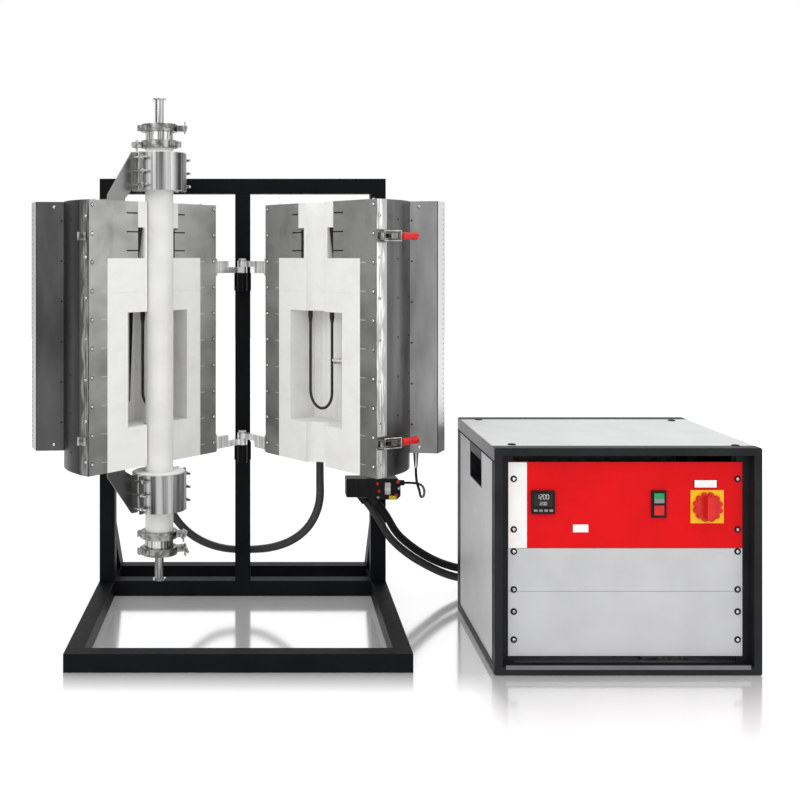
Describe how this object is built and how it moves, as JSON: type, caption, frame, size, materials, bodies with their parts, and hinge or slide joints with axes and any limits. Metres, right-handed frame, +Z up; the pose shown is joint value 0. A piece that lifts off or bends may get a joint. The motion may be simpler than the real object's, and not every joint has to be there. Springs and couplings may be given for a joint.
{
  "type": "split tube furnace",
  "caption": "Split vertical tube furnace on a black stand: two hinged halves, ceramic work tube with clamped end flanges, and a separate control cabinet.",
  "frame": {"origin": "on the floor, centre of the centre post", "axes": "+X to the viewer's right (towards the control cabinet), +Y towards the back, +Z up"},
  "size_m": [1.5501, 0.7303, 1.215],
  "materials": {
    "black_steel": "satin",
    "stainless": "brushed",
    "bright_steel": "satin",
    "machined_steel": "satin",
    "aluminium": "satin",
    "fibre": "matt",
    "alumina": "matt",
    "element_dark": "satin",
    "charcoal_paint": "satin",
    "pale_paint": "satin",
    "grey_paint": "satin",
    "red_paint": "satin",
    "lamination_steel": "matt",
    "dark_plastic": "matt",
    "grey_plastic": "matt",
    "yellow_plastic": "satin",
    "red_plastic": "gloss",
    "green_plastic": "gloss",
    "black_rubber": "satin",
    "grey_rubber": "satin"
  },
  "bodies": {
    "stand": {"base_frame": "black_steel", "upright_frame": "black_steel", "hinge_brackets": "black_steel", "hinge_pins": "bright_steel", "connector_box": "dark_plastic", "connector_plugs": "grey_plastic", "cable_fittings": "black_rubber", "cabinet_frames": "charcoal_paint", "cabinet_panels": "pale_paint", "side_handles": "dark_plastic", "control_panel": "red_paint", "blank_panels": "grey_paint", "controller": "dark_plastic", "switch_body": "dark_plastic", "isolator_plate": "yellow_plastic", "transformer": "lamination_steel", "power_controller": "aluminium", "link_hose_left": "black_rubber", "link_hose_right": "black_rubber", "sensor_lead": "black_rubber", "conduit_grey": "grey_rubber", "conduit_black": "black_rubber"},
    "left_half": {"left_face_plates": "stainless", "left_casing": "stainless", "left_rear_cover": "stainless", "left_insulation": "fibre", "left_element": "element_dark", "left_hinge_arms": "stainless", "latch_keepers": "bright_steel", "work_tube": "alumina", "collar_backs": "stainless", "collar_fronts": "stainless", "collar_fibre": "fibre", "collar_bolts": "bright_steel", "end_flanges": "machined_steel", "chain_clamps": "aluminium"},
    "right_half": {"right_face_plates": "stainless", "right_casing": "stainless", "right_rear_cover": "stainless", "right_insulation": "fibre", "right_element": "element_dark", "right_hinge_arms": "stainless", "thermocouple": "bright_steel", "latch_bases": "bright_steel"},
    "isolator_knob": {"isolator_knob": "red_plastic"},
    "green_button": {"green_button": "green_plastic"},
    "red_button": {"red_button": "red_plastic"},
    "key_page": {"key_page": "grey_plastic"},
    "key_scroll": {"key_scroll": "grey_plastic"},
    "key_down": {"key_down": "grey_plastic"},
    "key_up": {"key_up": "grey_plastic"},
    "wing_nut_upper_outer": {"wing_nut_upper_outer": "bright_steel"},
    "wing_nut_upper_inner": {"wing_nut_upper_inner": "bright_steel"},
    "wing_nut_lower_inner": {"wing_nut_lower_inner": "bright_steel"},
    "wing_nut_lower_outer": {"wing_nut_lower_outer": "bright_steel"},
    "latch_lever_lower": {"latch_lever_lower": "bright_steel"},
    "latch_hook_lower": {"latch_hook_lower": "bright_steel"},
    "latch_lever_upper": {"latch_lever_upper": "bright_steel"},
    "latch_hook_upper": {"latch_hook_upper": "bright_steel"}
  },
  "joints": [
    {"name": "left_swing", "type": "hinge", "parent": "stand", "child": "left_half", "pos_m": [0, -0.064, 0], "axis": [0, 0, 1], "range_deg": [-5, 40]},
    {"name": "right_swing", "type": "hinge", "parent": "stand", "child": "right_half", "pos_m": [0, -0.064, 0], "axis": [0, 0, -1], "range_deg": [-9.5, 35.5]},
    {"name": "isolator_turn", "type": "hinge", "parent": "stand", "child": "isolator_knob", "pos_m": [0.9652, -0.544, 0.34003], "axis": [0, 1, 0], "range_deg": [0, 90]},
    {"name": "green_button_press", "type": "slide", "parent": "stand", "child": "green_button", "axis": [0, 1, 0], "range_m": [0, 0.003], "stiffness_N_per_m": 400},
    {"name": "red_button_press", "type": "slide", "parent": "stand", "child": "red_button", "axis": [0, 1, 0], "range_m": [0, 0.003], "stiffness_N_per_m": 400},
    {"name": "key_page_press", "type": "slide", "parent": "stand", "child": "key_page", "axis": [0, 1, 0], "range_m": [0, 0.0008], "stiffness_N_per_m": 500},
    {"name": "key_scroll_press", "type": "slide", "parent": "stand", "child": "key_scroll", "axis": [0, 1, 0], "range_m": [0, 0.0008], "stiffness_N_per_m": 500},
    {"name": "key_down_press", "type": "slide", "parent": "stand", "child": "key_down", "axis": [0, 1, 0], "range_m": [0, 0.0008], "stiffness_N_per_m": 500},
    {"name": "key_up_press", "type": "slide", "parent": "stand", "child": "key_up", "axis": [0, 1, 0], "range_m": [0, 0.0008], "stiffness_N_per_m": 500},
    {"name": "wing_nut_upper_outer_turn", "type": "hinge", "parent": "left_half", "child": "wing_nut_upper_outer", "pos_m": [-0.12932, -0.27745, 1.147], "axis": [0.1392, -0.9903, 0], "continuous": true},
    {"name": "wing_nut_upper_inner_turn", "type": "hinge", "parent": "left_half", "child": "wing_nut_upper_inner", "pos_m": [-0.24221, -0.27745, 1.11], "axis": [0.1392, 0.9903, 0], "continuous": true},
    {"name": "wing_nut_lower_inner_turn", "type": "hinge", "parent": "left_half", "child": "wing_nut_lower_inner", "pos_m": [-0.1288, -0.28738, 0.222], "axis": [-0.0349, -0.9994, 0], "continuous": true},
    {"name": "wing_nut_lower_outer_turn", "type": "hinge", "parent": "left_half", "child": "wing_nut_lower_outer", "pos_m": [-0.13156, -0.26777, 0.185], "axis": [0.309, -0.9511, 0], "continuous": true},
    {"name": "latch_lever_lower_swing", "type": "hinge", "parent": "right_half", "child": "latch_lever_lower", "pos_m": [0.30383, -0.47618, 0.457], "axis": [0, 0, 1], "range_deg": [-120, 0]},
    {"name": "latch_hook_lower_swing", "type": "hinge", "parent": "latch_lever_lower", "child": "latch_hook_lower", "pos_m": [0.30953, -0.47212, 0.457], "axis": [0, 0, -1], "range_deg": [0, 170]},
    {"name": "latch_lever_upper_swing", "type": "hinge", "parent": "right_half", "child": "latch_lever_upper", "pos_m": [0.30383, -0.47618, 0.899], "axis": [0, 0, 1], "range_deg": [-120, 0]},
    {"name": "latch_hook_upper_swing", "type": "hinge", "parent": "latch_lever_upper", "child": "latch_hook_upper", "pos_m": [0.30953, -0.47212, 0.899], "axis": [0, 0, -1], "range_deg": [0, 170]}
  ]
}
